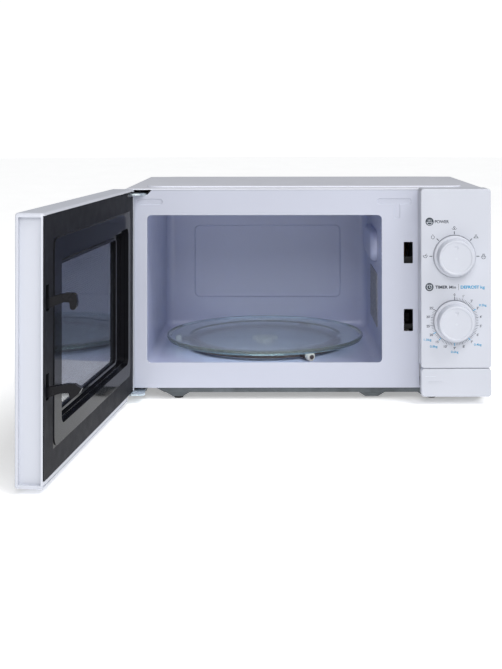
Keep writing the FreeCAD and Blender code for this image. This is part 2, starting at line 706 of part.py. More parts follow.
def make_control_panel():
    x0, x1 = panel_left, half_width
    z0 = button_top + 0.5
    shell = rounded(x0, x1, 0, panel_back, z0, panel_top, 4.0)
    shell = shell.makeFillet(1.6, edges_on(shell, "y", 0))
    hollow = rounded(x0 + panel_wall, x1 - panel_wall, panel_wall, panel_back + 1,
                     z0 + panel_wall, panel_top - panel_wall, 2.0)
    backing = cut(block(x0 + 2.6, x1 - 2.6, button_depth + button_travel + 1.2, panel_back,
                        13.5, z0 + 3),
                  block(x0 + 5.1, x1 - 5.1, button_depth + button_travel + 3.4, panel_back + 1,
                        16.0, z0 - 1))
    body = cut(shell, hollow)
    bosses = []
    tools = []
    for z in (power_z, timer_z):
        bosses.append(rod(knob_x, panel_wall, z, well_radius + panel_wall, well_depth, "y"))
        bosses.append(rod(knob_x, panel_wall, z, 13.0, 3.5, "y"))
        tools.append(rod(knob_x, -1, z, 4.0, 12, "y"))
        tools.append(rod(knob_x, -1, z, well_radius, well_depth + 1, "y"))
    tools.append(block(plunger_x[0] - 0.4, plunger_x[1] + 0.4, 8, panel_back + 1, 15.6, 38.4))
    return cut(fuse(body, backing, *bosses), *tools)


def make_release_button():
    x0, x1 = panel_left + 0.2, half_width
    cap = rounded(x0, x1, 0, button_depth, panel_bottom, button_top, 4.0)
    cap = cap.makeFillet(1.4, edges_on(cap, "y", 0))
    hollow = rounded(x0 + 2.4, x1 - 2.4, 2.4, button_depth + 1, panel_bottom + 2.4,
                     button_top - 2.4, 2.0)
    mark = rounded(149, 166, -0.45, 1.5, 27.4, 28.6, 0.55)
    low = 19.0
    plunger = prism_x([(2.0, low), (plunger_tip, low), (plunger_tip, plunger_top - plunger_rise),
                       (plunger_tip - plunger_rise / ramp, plunger_top), (2.0, plunger_top)],
                      *plunger_x)
    return fuse(cut(cap, hollow), plunger, mark)


def make_latch_lifter():
    """Slider that the plunger's ramp raises; its finger lifts the lower hook."""
    clear = 0.5
    slope_start = plunger_tip - plunger_rise / ramp + clear
    slope_end = slope_start + 12.0 / ramp
    foot = prism_x([(slope_start, plunger_top), (slope_end, plunger_top - 12.0),
                    (46.0, plunger_top - 12.0), (46.0, plunger_top + 8),
                    (slope_start, plunger_top + 8)], 138.0, plunger_x[1])
    bridge = block(124.2, 138.0, 38.0, 46.0, plunger_top - 4, plunger_top + 8)
    post = block(124.2, 131.0, 38.0, 46.0, plunger_top + 8, 76.5)
    shelf = block(124.2, 131.0, 38.0, 60.0, 74.5, 78.5)
    finger = block(124.2, 131.0, 50.0, 60.0, 78.5, 86.6)
    return fuse(foot, bridge, post, shelf, finger)


def make_interlock_bracket():
    plate = block(134.6, 136.8, frame_back, 76.0, 64.0, 206.0)
    flange = block(136.8, 148.0, frame_back, frame_back + 2.0, 64.0, 206.0)
    upper = prism_x([(41.5, 166.0), (48.6, 166.0), (48.6, 175.3), (41.5, 175.3)], 122.4, 134.8)
    lower = prism_x([(41.2, 85.4), (47.6, 85.4), (47.6, 91.2), (41.2, 91.2)], 122.4, 134.8)
    return fuse(plate, flange, upper, lower)


def make_interlock_switches():
    switches = []
    for z in (186.0, 120.0, 98.0):
        body = block(137.0, 147.0, 44.0, 72.0, z, z + 16)
        tabs = [block(140.0, 144.0, 72.0, 78.0, z + dz, z + dz + 0.8) for dz in (3, 11)]
        lever = block(140.0, 144.0, 43.0, 44.0, z + 3, z + 14)
        switches.append(fuse(body, lever, *tabs))
    return group(switches)


def make_timer_unit():
    """Clockwork timer with its bell cup behind it."""
    box = rounded(knob_x - 28, knob_x + 28, 6.0, 40.0, timer_z - 28, timer_z + 28, 3.0)
    terminals = [block(knob_x + dx, knob_x + dx + 6, 12 + 8 * row, 12.8 + 8 * row,
                       timer_z - 35, timer_z - 28) for dx in (-16, 0, 14) for row in range(2)]
    bell = turned([(0, 0), (4, 0), (4, 3), (17, 3), (20, 6), (20, 12), (19, 12), (19, 6.6),
                   (16.5, 4), (0, 4)], V(knob_x, 40.0, timer_z), V(0, 1, 0))
    return cut(fuse(box, bell, *terminals),
               rod(knob_x, 0, timer_z, 3.0 + running_gap, 30.0, "y"))


def make_power_switch():
    box = rounded(knob_x - 22, knob_x + 22, 6.0, 30.0, power_z - 22, power_z + 22, 3.0)
    terminals = [block(knob_x + dx, knob_x + dx + 6, 30.0, 37.0, power_z + 8, power_z + 8.8)
                 for dx in (-14, 8)]
    return cut(fuse(box, *terminals),
               rod(knob_x, 0, power_z, 3.0 + running_gap, 24.0, "y"))


def make_shaft(z, end):
    shaft = rod(knob_x, -14.0, z, 3.0, end + 14.0, "y")
    flat = block(knob_x - 4, knob_x + 4, -15, well_depth + 0.2, z + 2.0, z + 4)
    return cut(shaft, flat)


def make_knob(z):
    r, h = knob_radius, knob_height
    low = 0.4 - well_depth
    profile = [(0, low), (r - 0.6, low), (r, low + 0.6), (r, 3.0), (r - 1.0, 4.0), (r - 3.0, 4.6),
               (r - 3.9, h - 1.6), (r - 4.4, h - 0.5), (r - 5.2, h), (r - 6.4, h),
               (r - 7.2, h - 0.7), (0, h - 0.9)]
    knob = turned(profile, V(knob_x, 0, z), V(0, -1, 0))
    dimple = Part.makeSphere(3.4, V(knob_x, -(h - 0.9) - 2.5, z + 12.5))
    socket = cut(rod(knob_x, -14.2, z, 3.0, 15.0 + well_depth, "y"),
                 block(knob_x - 4, knob_x + 4, -15, well_depth + 2, z + 2.0, z + 4))
    return cut(knob, dimple, socket)


# ---- door, drawn closed ----
inner_left = -223.0
inner_right = 133.0
inner_bottom = 13.2
inner_top = 259.0
cover_plate_y = 26.4
raised_face = 28.9
window = (-152.0, 70.0, 64.0, 205.0)


def hinge_pockets():
    """Room inside the door for the two hinge leaves over the whole swing."""
    x0, x1 = -half_width - 0.1, -189.0
    return [block(x0, x1, 3.2, door_depth + 2, door_bottom - 0.1, 13.6),
            block(x0, x1, 9.0, door_depth + 2, 252.6, 257.7)]


def bush_seat(z0, z1):
    return rod(hinge_x, hinge_y, z0, 4.0, z1 - z0, "z")


def make_door_shell():
    outer = rounded(-half_width, door_right, 0, door_depth, door_bottom, door_top, 3.5)
    outer = outer.makeFillet(1.8, edges_on(outer, "y", 0))
    rear_corner = [edge for edge in edges_along(outer, "z")
                   if edge.BoundBox.XMax < -half_width + 1 and edge.BoundBox.YMin > 20]
    outer = outer.makeFillet(3.6, rear_corner)
    hollow = rounded(inner_left, inner_right, door_wall, door_depth + 1, inner_bottom,
                     inner_top, 3.0)
    seat = block(inner_right - 1, door_right - 1.0, cover_plate_y, door_depth + 1,
                 inner_bottom + 0.3, inner_top - 0.3)
    channel = block(door_right - 4.0, door_right + 1, 3.4, 25.2, door_bottom + 4, door_top - 4)
    groove = block(-214, door_right + 1, door_depth - 1.2, door_depth + 1, 9.2, 10.0)
    opening = rounded(-172, 88, -1, door_wall + 1, 52, 214, 8.0)
    rebate = rounded(-182, 98, -1, 1.7, 42, 224, 10.0)
    shell = cut(outer, hollow, seat, channel, groove, opening, rebate)
    lugs = [block(inner_left - 0.5, -212.5, 12.6, 26.0, 236.0, 252.6),
            block(inner_left - 0.5, -212.5, 12.6, 26.0, 13.6, 30.0)]
    ribs = [block(inner_left - 0.5, inner_right + 0.5, 8.0, 11.2, z, z + 1.6) for z in (26, 246)]
    shell = fuse(shell, *lugs, *ribs)
    return cut(shell, *hinge_pockets(), bush_seat(236.0, 253.0), bush_seat(13.0, 30.1))


def make_door_window():
    glass = rounded(-181.7, 97.7, 0, 1.7, 42.3, 223.7, 9.7)
    return glass


def make_door_panel():
    x0, x1, z0, z1 = -210.0, 119.0, 31.0, 244.0
    pan = cut(rounded(x0, x1, 12.4, 18.6, z0, z1, 4.0),
              rounded(x0 + 1, x1 - 1, 13.4, 25.0, z0 + 1, z1 - 1, 3.0))
    a, b, c, d = window
    wall = cut(rounded(a - 5, b + 5, 12.4, 17.8, c - 5, d + 5, 5.0),
               rounded(a - 4, b + 4, 11.0, 19.0, c - 4, d + 4, 4.0))
    hole = rounded(a - 4, b + 4, 11.0, 14.0, c - 4, d + 4, 4.0)
    return fuse(cut(pan, hole), wall)


def make_door_screen():
    a, b, c, d = window
    return rounded(a - 10, b + 10, 11.7, 12.3, c - 10, d + 10, 4.0)


def make_door_film():
    a, b, c, d = window
    return rounded(a - 6, b + 6, 18.0, 19.2, c - 6, d + 6, 4.0)


def make_choke_cover():
    x0, x1 = -216.4, door_right - 1.2
    plate = rounded(x0, x1, cover_plate_y, door_depth, inner_bottom + 0.5, inner_top - 0.5, 2.0)
    band = rounded(-200, 109.6, cover_plate_y, raised_face, 36.5, 235.2, 11.0)
    band = band.makeFillet(0.7, edges_on(band, "y", raised_face))
    tub = rounded(-192, 88, 19.4, cover_plate_y + 0.5, 50.5, 219, 9.0)
    skirt = cut(rounded(-208.5, 117.5, 19.4, cover_plate_y, 32.5, 242.5, 4.0),
                rounded(-207.1, 116.1, 19.0, cover_plate_y + 0.1, 33.9, 241.1, 3.0))
    step = rounded(-189.5, 85.5, 24.6, 30, 53, 216.5, 8.0)
    well = rounded(-185, 81, 21.0, 30, 57, 212.5, 6.0)
    a, b, c, d = window
    bead = cut(rounded(a - 3.6, b + 3.6, 20.5, 22.6, c - 3.6, d + 3.6, 7.0),
               rounded(a - 1, b + 1, 20, 24, c - 1, d + 1, 4.5))
    hole = rounded(a, b, 18.0, 24.0, c, d, 4.0)
    body = cut(fuse(plate, band, tub, skirt), step, well)
    body = cut(fuse(body, bead), hole)
    slots = [rounded(hook_left - 1.5, hook_right + 1.9, 25, 30, z0, z1, 1.2)
             for z0, z1 in ((169.6, 194.0), (86.4, 111.0))]
    return cut(body, *slots, *hinge_pockets())


def make_door_latch():
    """Sliding bar in the door with the two hooks that reach into the cabinet."""
    bar = block(hook_left, hook_right, 13.6, 20.0, 84.0, 206.0)
    upper = prism_x([(19.0, 171.8), (28.0, 171.8), (44.0, 178.0), (49.4, 178.0),
                     (50.2, 172.4), (51.6, 171.1), (54.6, 171.3), (56.4, 174.0),
                     (57.0, 179.0), (55.6, 185.0), (53.4, 186.6), (46.0, 186.8),
                     (28.0, 181.6), (19.0, 181.6)], hook_left, hook_right)
    lower = prism_x([(19.0, 89.0), (28.0, 89.0), (41.0, 93.6), (48.6, 94.0), (50.6, 87.6),
                     (58.6, 93.6), (61.4, 98.2), (55.0, 102.2), (47.5, 102.2),
                     (28.0, 98.4), (19.0, 98.4)], hook_left, hook_right)
    hooks = [shape.makeFillet(0.6, edges_along(shape, "x")) for shape in (upper, lower)]
    eye = block(hook_left + 1.2, hook_right - 1.2, 15.0, 18.6, 206.0, 210.0)
    return fuse(bar, *hooks, eye)


def make_latch_guide():
    """Clip that holds the bar against the door's front wall."""
    pieces = []
    for z in (126.0, 200.0):
        clip = cut(block(hook_left - 4.6, hook_right + 2.0, door_wall, 22.2, z, z + 5),
                   block(hook_left - 0.35, hook_right + 0.35, 13.2, 20.4, z - 1, z + 6))
        pieces.append(clip)
    spine = block(hook_left - 4.6, hook_right + 2.0, door_wall, 5.0, 126.0, 232.0)
    hanger = block(hook_left - 1.0, hook_right + 1.0, 5.0, 19.0, 228.0, 232.0)
    return fuse(spine, hanger, *pieces)


def make_hinge_bush(z0, length):
    return cut(rod(hinge_x, hinge_y, z0, 4.0, length, "z"),
               rod(hinge_x, hinge_y, z0 - 1, 2.5 + running_gap, length + 2, "z"))


# ---- hinges on the cabinet ----
leaf_thickness = 2.0


def make_upper_hinge():
    z0 = 254.0
    leaf = prism_z([(-224.6, 14.8), (-213.0, 14.8), (-204.0, 18.0), (-200.5, 26.0),
                    (-197.0, 31.0), (-194.0, 36.0), (-214.0, 36.0), (-214.0, 27.0), (-224.6, 25.2)], z0, z0 + leaf_thickness)
    tab = block(-214.0, -194.0, frame_back, frame_back + 2.0, 236.0, z0)
    relief = pressed_bars(sheet + 0.1, frame_face, frame_back + press_depth + 0.1)
    return cut(fuse(leaf, tab), *relief, rod(hinge_x, hinge_y, z0 - 1, 2.5, 4, "z"))


def make_lower_hinge():
    z0 = base_bottom + sheet + 0.2
    leaf = prism_z([(-224.6, 14.6), (-213.0, 7.0), (-201.0, 7.0), (-196.5, 12.0),
                    (-198.5, 30.0), (-198.5, 60.0), (-214.0, 60.0), (-214.0, 27.0), (-224.6, 25.4)],
                   z0, z0 + leaf_thickness)
    foot = block(-214.0, -198.5, 36.0, 60.0, z0 - 0.2, z0)
    holes = [screw_hole(x, y, z0 - 1, 6, "z") for x, y in hinge_screw_places]
    return cut(fuse(leaf, foot), *holes, rod(hinge_x, hinge_y, z0 - 1, 2.5, 4, "z"))


def make_hinge_pins():
    low = base_bottom + sheet + 0.2
    lower = fuse(rod(hinge_x, hinge_y, low, 2.5, 18.0, "z"),
                 rod(hinge_x, hinge_y, low - 1.2, 3.6, 1.2, "z"))
    upper = fuse(rod(hinge_x, hinge_y, 238.0, 2.5, 18.0, "z"),
                 rod(hinge_x, hinge_y, 256.0, 3.6, 1.2, "z"))
    return [lower, upper]


# ---- assembly ----
def fixed_nodes():
    low = base_bottom
    rear_y = rear_sheet_y + sheet
    rear = [screw(x, body_depth if through_flange(x, z) else rear_y, z, 5.0, "+y")
            for x, z in rear_screw_places]
    floor_screws = [screw(x, y, low, 4.0, "-z") for x, y in base_screw_places]
    xm = (capacitor[0] + capacitor[1]) / 2
    floor_screws.append(screw(xm, capacitor[3] + 10, low + sheet + 0.9, 0.8, "+z"))
    hinge_screws = [screw(x, y, low, 4.0, "-z") for x, y in hinge_screw_places]
    z0 = transformer[4]
    nodes = {
        "outer_cover": make_outer_cover(),
        "rear_panel": make_rear_panel(),
        "base_plate": make_base_plate(),
        "front_frame": make_front_frame(),
        "cavity_shell": make_cavity_shell(),
        "waveguide": make_waveguide(),
        "waveguide_cover": make_waveguide_cover(),
        "cavity_lamp": make_cavity_lamp(),
        "lamp_holder": make_lamp_holder(),
        "turntable_motor": make_turntable_motor(),
        "transformer_core": make_transformer_core(),
        "transformer_windings": group([make_winding(z0 + 15, z0 + 33, 12.0),
                                       make_winding(z0 + 36, z0 + 54, 9.0)]),
        "hv_capacitor": make_capacitor(),
        "capacitor_strap": make_capacitor_strap(),
        "hv_diode": make_diode(),
        "magnetron_yoke": make_magnetron_yoke(),
        "magnetron_anode": make_magnetron_anode(),
        "magnetron_fins": make_magnetron_fins(),
        "magnetron_filter_box": make_magnetron_filter(),
        "fan_shroud": make_fan_shroud(),
        "fan_motor": make_fan_motor(),
        "fuse_board": make_fuse_board(),
        "thermal_cutout": make_thermal_cutout(),
        "cord_bushing": make_cord_bushing(),
        "control_panel": make_control_panel(),
        "timer_unit": make_timer_unit(),
        "power_switch": make_power_switch(),
        "interlock_bracket": make_interlock_bracket(),
        "interlock_switches": make_interlock_switches(),
        "upper_hinge": make_upper_hinge(),
        "lower_hinge": make_lower_hinge(),
        "hinge_pins": group(make_hinge_pins()),
        "rubber_feet": group([make_rubber_foot(x, y) for x, y in foot_places]),
        "rear_screws": group(rear),
        "chassis_screws": group(floor_screws + hinge_screws),
    }
    return nodes


def moving_nodes():
    nodes = {
        "release_button": make_release_button(),
        "button_spring": coil(160.0, 3.2, 26.0, 3.2, 13.2, 6, 0.45, "y"),
        "latch_lifter": make_latch_lifter(),
        "power_knob": make_knob(power_z),
        "power_shaft": make_shaft(power_z, 22.0),
        "timer_knob": make_knob(timer_z),
        "timer_shaft": make_shaft(timer_z, 28.0),
        "drive_coupler": make_drive_coupler(),
        "glass_tray": make_glass_tray(),
        "roller_ring": make_roller_ring(),
        "fan_rotor": make_fan_rotor(),
        "fan_blade": make_fan_blade(),
    }
    for step in range(3):
        nodes["roller_" + str(step + 1)] = make_roller(step)
    return nodes


def door_nodes():
    return {
        "door_shell": make_door_shell(),
        "door_window": make_door_window(),
        "door_panel": make_door_panel(),
        "door_screen": make_door_screen(),
        "door_film": make_door_film(),
        "choke_cover": make_choke_cover(),
        "hinge_bushes": group([make_hinge_bush(240.0, 12.6), make_hinge_bush(13.6, 14.0)]),
        "latch_guide": make_latch_guide(),
        "door_latch": make_door_latch(),
        "latch_spring": coil(127.8, 16.8, 210.6, 2.4, 16.8, 8, 0.4, "z"),
    }


def swung(x, y):
    """Where a closed door's point stands when the door is open."""
    turn = math.radians(-open_angle)
    dx, dy = x - hinge_x, y - hinge_y
    return (hinge_x + dx * math.cos(turn) - dy * math.sin(turn),
            hinge_y + dx * math.sin(turn) + dy * math.cos(turn))


def origin_shift():
    """Brings the origin to the middle of the whole object's footprint."""
    corners = [swung(x, y) for x in (-half_width, door_right) for y in (0, door_depth)]
    x_low = min(x for x, _ in corners)
    y_low = min(y for _, y in corners)
    return V(-(x_low + half_width) / 2, -(y_low + body_depth + screw_head_height) / 2, 0)


def build():
    nodes = {**fixed_nodes(), **moving_nodes()}
    for name, shape in door_nodes().items():
        shape.rotate(V(hinge_x, hinge_y, 0), V(0, 0, 1), -open_angle)
        nodes[name] = shape
    shift = origin_shift()
    for shape in nodes.values():
        shape.translate(shift)
    return nodes


def main():
    os.makedirs("parts", exist_ok=True)
    for name, shape in build().items():
        shape.exportStep("parts/" + name + ".step")


main()
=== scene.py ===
import bpy
import bmesh
import json
import math
from mathutils import Matrix, Vector


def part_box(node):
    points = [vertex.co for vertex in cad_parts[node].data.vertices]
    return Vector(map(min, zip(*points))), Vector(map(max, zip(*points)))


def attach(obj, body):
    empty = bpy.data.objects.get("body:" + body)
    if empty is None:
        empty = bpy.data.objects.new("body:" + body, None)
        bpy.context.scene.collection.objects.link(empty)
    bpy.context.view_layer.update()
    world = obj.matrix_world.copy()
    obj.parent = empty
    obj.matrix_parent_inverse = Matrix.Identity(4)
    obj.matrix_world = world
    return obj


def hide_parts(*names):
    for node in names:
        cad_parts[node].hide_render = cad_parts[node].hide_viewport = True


# Looks of a microwave oven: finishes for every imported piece, the printing on its control
# panel, the door's perforated screen, and a plain pale studio.
# Lengths are metres in the row frame. Places on the oven are given in millimetres from the
# oven's own zero: mid width, the control panel's face, and the surface that it stands on.

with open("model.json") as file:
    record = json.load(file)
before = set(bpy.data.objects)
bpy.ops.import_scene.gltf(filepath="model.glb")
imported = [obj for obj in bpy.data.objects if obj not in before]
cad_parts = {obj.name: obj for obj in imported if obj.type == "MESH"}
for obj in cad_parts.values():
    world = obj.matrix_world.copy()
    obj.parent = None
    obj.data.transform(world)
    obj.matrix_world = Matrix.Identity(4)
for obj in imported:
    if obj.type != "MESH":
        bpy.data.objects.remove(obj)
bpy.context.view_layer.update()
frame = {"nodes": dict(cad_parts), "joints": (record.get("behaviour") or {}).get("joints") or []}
nodes = frame["nodes"]
joints = {joint["name"]: joint for joint in frame["joints"]}

MM = 0.001
half_width = 226.0
panel_low, panel_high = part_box("control_panel")
oven_zero = Vector((panel_high.x - half_width * MM, panel_low.y, 0.0))


def place(x, y, z):
    """Point given in millimetres from the oven's zero, in the row frame."""
    return oven_zero + Vector((x, y, z)) * MM


def added(name, data):
    """New object with that data, linked into the scene."""
    made = bpy.data.objects.new(name, data)
    bpy.context.scene.collection.objects.link(made)
    return made


def thickened(piece, name, thickness, offset=0.0):
    """Gives a flat piece that thickness, in millimetres."""
    modifier = piece.modifiers.new(name, "SOLIDIFY")
    modifier.thickness = thickness * MM
    modifier.offset = offset


# ---- finishes ----
class Finish:
    """Principled material fed by patterns that lie in each piece's own coordinates."""

    def __init__(self, name, colour, roughness, metallic=0.0, **constants):
        self.material = bpy.data.materials.new(name)
        self.material.use_nodes = True
        self.tree = self.material.node_tree
        self.shader = self.tree.nodes["Principled BSDF"]
        self.place = self.node("ShaderNodeTexCoord").outputs["Object"]
        self.shader.inputs["Base Color"].default_value = (*colour, 1.0)
        self.shader.inputs["Roughness"].default_value = roughness
        self.shader.inputs["Metallic"].default_value = metallic
        for key, value in constants.items():
            self.shader.inputs[key.replace("_", " ")].default_value = value

    def node(self, kind, **inputs):
        made = self.tree.nodes.new(kind)
        for key, value in inputs.items():
            self.feed(made.inputs[key], value)
        return made

    def feed(self, socket, value):
        if isinstance(value, bpy.types.NodeSocket):
            self.tree.links.new(value, socket)
        else:
            socket.default_value = value

    def stretched(self, x, y, z):
        """The piece's coordinates scaled along each axis."""
        mapping = self.node("ShaderNodeMapping", Vector=self.place)
        mapping.inputs["Scale"].default_value = (x, y, z)
        return mapping.outputs["Vector"]

    def noise(self, scale, detail=2.0, where=None):
        made = self.node("ShaderNodeTexNoise", Vector=where or self.place)
        made.inputs["Scale"].default_value = scale
        made.inputs["Detail"].default_value = detail
        return made.outputs["Fac"]

    def cells(self, scale, output="Distance"):
        made = self.node("ShaderNodeTexVoronoi", Vector=self.place)
        made.inputs["Scale"].default_value = scale
        return made.outputs[output]

    def bands(self, scale, direction, distortion=0.0):
        made = self.node("ShaderNodeTexWave", Vector=self.place)
        made.bands_direction = direction
        made.inputs["Scale"].default_value = scale
        made.inputs["Distortion"].default_value = distortion
        return made.outputs["Fac"]

    def maths(self, operation, first, second=0.0):
        made = self.node("ShaderNodeMath")
        made.operation = operation
        self.feed(made.inputs[0], first)
        self.feed(made.inputs[1], second)
        return made.outputs[0]

    def between(self, factor, low, high, start=0.3, end=0.7):
        """Number that goes from low to high as the pattern goes from start to end."""
        made = self.node("ShaderNodeMapRange", Value=factor)
        ends = {"From Min": start, "From Max": end, "To Min": low, "To Max": high}
        for key, value in ends.items():
            made.inputs[key].default_value = value
        return made.outputs["Result"]

    def colours(self, factor, low, high, start=0.3, end=0.7):
        """Colour that goes from low to high as the pattern goes from start to end."""
        ramp = self.node("ShaderNodeValToRGB", Fac=factor)
        for stop, position, colour in zip(ramp.color_ramp.elements, (start, end), (low, high)):
            stop.position = position
            stop.color = (*colour, 1.0)
        return ramp.outputs["Color"]

    def mixed(self, factor, first, second, mode="MIX"):
        made = self.node("ShaderNodeMix")
        made.data_type = "RGBA"
        made.blend_type = mode
        self.feed(made.inputs[0], factor)
        self.feed(made.inputs[6], first)
        self.feed(made.inputs[7], second)
        return made.outputs[2]

    def tint(self, colour):
        self.feed(self.shader.inputs["Base Color"], colour)

    def gloss(self, roughness):
        self.feed(self.shader.inputs["Roughness"], roughness)

    def relief(self, height, depth):
        """Bump of that depth on top of any relief already there."""
        bump = self.node("ShaderNodeBump", Height=height)
        bump.inputs["Distance"].default_value = depth
        normal = self.shader.inputs["Normal"]
        if normal.is_linked:
            self.tree.links.new(normal.links[0].from_socket, bump.inputs["Normal"])
        self.tree.links.new(bump.outputs["Normal"], normal)


def shaded(colour, share):
    return tuple(channel * share for channel in colour)


def moulded(name, colour, low_gloss, high_gloss, grain=2400.0, depth=0.000007, specular=0.5):
    """Injection-moulded plastic with a spark-eroded grain and slow flow marks."""
    finish = Finish(name, colour, high_gloss, Specular_IOR_Level=specular)
    flow = finish.noise(9.0, 3.0, finish.stretched(1.0, 1.0, 0.4))
    finish.tint(finish.colours(flow, shaded(colour, 0.955), shaded(colour, 1.02)))
    finish.gloss(finish.between(finish.noise(70.0, 3.0), low_gloss, high_gloss))
    finish.relief(finish.noise(grain, 1.0), depth)
    return finish.material


def painted(name, colour, low_gloss, high_gloss, peel=300.0, depth=0.000003):
    """Sprayed and baked paint with faint orange peel."""
    finish = Finish(name, colour, high_gloss, Coat_Weight=0.25, Coat_Roughness=0.12)
    cloud = finish.noise(6.0, 4.0)
    finish.tint(finish.colours(cloud, shaded(colour, 0.965), shaded(colour, 1.015)))
    finish.gloss(finish.between(finish.noise(45.0, 2.0), low_gloss, high_gloss))
    finish.relief(finish.noise(peel, 2.0), depth)
    return finish.material


def plated(name, dull, bright, low_gloss, high_gloss):
    """Zinc-plated steel with clouded crystals."""
    finish = Finish(name, bright, high_gloss, metallic=1.0)
    crystals = finish.mixed(0.45, finish.noise(150.0, 4.0), finish.cells(420.0, "Color"))
    finish.tint(finish.colours(crystals, dull, bright))
    finish.gloss(finish.between(finish.noise(260.0, 3.0), low_gloss, high_gloss))
    finish.relief(finish.noise(900.0, 2.0), 0.000008)
    return finish.material


def brushed(name, dull, bright, along, low_gloss=0.25, high_gloss=0.42):
    """Metal with fine drawn lines; along holds how much the lines are stretched on each axis."""
    finish = Finish(name, bright, high_gloss, metallic=1.0)
    lines = finish.noise(900.0, 3.0, finish.stretched(*along))
    finish.tint(finish.colours(lines, dull, bright))
    finish.gloss(finish.between(lines, low_gloss, high_gloss))
    finish.relief(lines, 0.00001)
    return finish.material


def clear(name, colour, roughness, smear=0.03, absorbed=None, density=0.0, milk=0.0):
    """Clear solid with faint wipe marks that lets light past to what lies behind it.

    absorbed and density tint long paths through it, and milk is the share that isn't clear.
    """
    finish = Finish(name, colour, roughness, Transmission_Weight=1.0 - milk, IOR=1.5)
    wipes = finish.noise(28.0, 4.0, finish.stretched(1.0, 3.0, 1.0))
    finish.gloss(finish.between(wipes, roughness, roughness + smear))
    output = finish.tree.nodes["Material Output"]
    shadow = finish.tree.nodes.new("ShaderNodeLightPath").outputs["Is Shadow Ray"]
    passing = finish.tree.nodes.new("ShaderNodeBsdfTransparent")
    passing.inputs["Color"].default_value = (*colour, 1.0)
    either = finish.tree.nodes.new("ShaderNodeMixShader")
    finish.tree.links.new(shadow, either.inputs[0])
    finish.tree.links.new(finish.shader.outputs["BSDF"], either.inputs[1])
    finish.tree.links.new(passing.outputs["BSDF"], either.inputs[2])
    finish.tree.links.new(either.outputs["Shader"], output.inputs["Surface"])
    if absorbed:
        volume = finish.tree.nodes.new("ShaderNodeVolumeAbsorption")
        volume.inputs["Color"].default_value = (*absorbed, 1.0)
        volume.inputs["Density"].default_value = density
        finish.tree.links.new(volume.outputs["Volume"], output.inputs["Volume"])
    return finish.material


def slate_steel():
    """Grey-coated steel of the underside, scuffed where it was handled."""
    base = (0.085, 0.098, 0.108)
    finish = Finish("slate_coated_steel", base, 0.45, metallic=0.25)
    scuffs = finish.noise(38.0, 6.0)
    finish.tint(finish.colours(scuffs, shaded(base, 0.75), shaded(base, 1.35), 0.35, 0.72))
    finish.gloss(finish.between(finish.noise(120.0, 3.0), 0.36, 0.56))
    finish.relief(finish.noise(700.0, 2.0), 0.00001)
    return finish.material


def mica_sheet():
    """Pressed mica flakes."""
    finish = Finish("mica_flakes", (0.3, 0.3, 0.32), 0.5)
    flakes = finish.cells(260.0, "Color")
    clouded = finish.mixed(0.5, flakes, finish.noise(90.0, 4.0))
    finish.tint(finish.colours(clouded, (0.21, 0.21, 0.23), (0.36, 0.36, 0.37)))
    finish.gloss(finish.between(finish.noise(300.0), 0.32, 0.6))
    finish.relief(finish.cells(260.0), 0.00002)
    return finish.material


def laminated_steel():
    """Edges of the stacked core sheets, with varnish."""
    finish = Finish("laminated_core", (0.1, 0.1, 0.11), 0.4, metallic=0.85)
    sheets = finish.bands(320.0, "Y", 0.4)
    finish.tint(finish.colours(sheets, (0.045, 0.045, 0.05), (0.16, 0.155, 0.15), 0.2, 0.8))
    finish.gloss(finish.between(finish.noise(90.0, 3.0), 0.3, 0.55))
    finish.relief(sheets, 0.00006)
    return finish.material


def wound_copper():
    """Enamelled winding wire laid turn by turn."""
    finish = Finish("wound_copper", (0.5, 0.2, 0.08), 0.35, metallic=0.8)
    turns = finish.bands(360.0, "Z", 1.2)
    finish.tint(finish.colours(turns, (0.2, 0.055, 0.02), (0.62, 0.27, 0.11), 0.15, 0.85))
    finish.gloss(finish.between(turns, 0.5, 0.28))
    finish.relief(turns, 0.00025)
    return finish.material


def circuit_board():
    """Green board with solder mask and tinned tracks."""
    finish = Finish("circuit_board", (0.02, 0.12, 0.05), 0.35)
    tracks = finish.cells(110.0)
    finish.tint(finish.colours(tracks, (0.012, 0.075, 0.035), (0.03, 0.19, 0.08), 0.25, 0.6))
    finish.gloss(finish.between(finish.noise(160.0), 0.25, 0.45))
    finish.relief(tracks, 0.00008)
    return finish.material


# The raised band on the door's inner cover, seen with the door shut: X, then Z, in millimetres.
band_x = (-200.0, 109.6)
band_z = (36.5, 235.2)


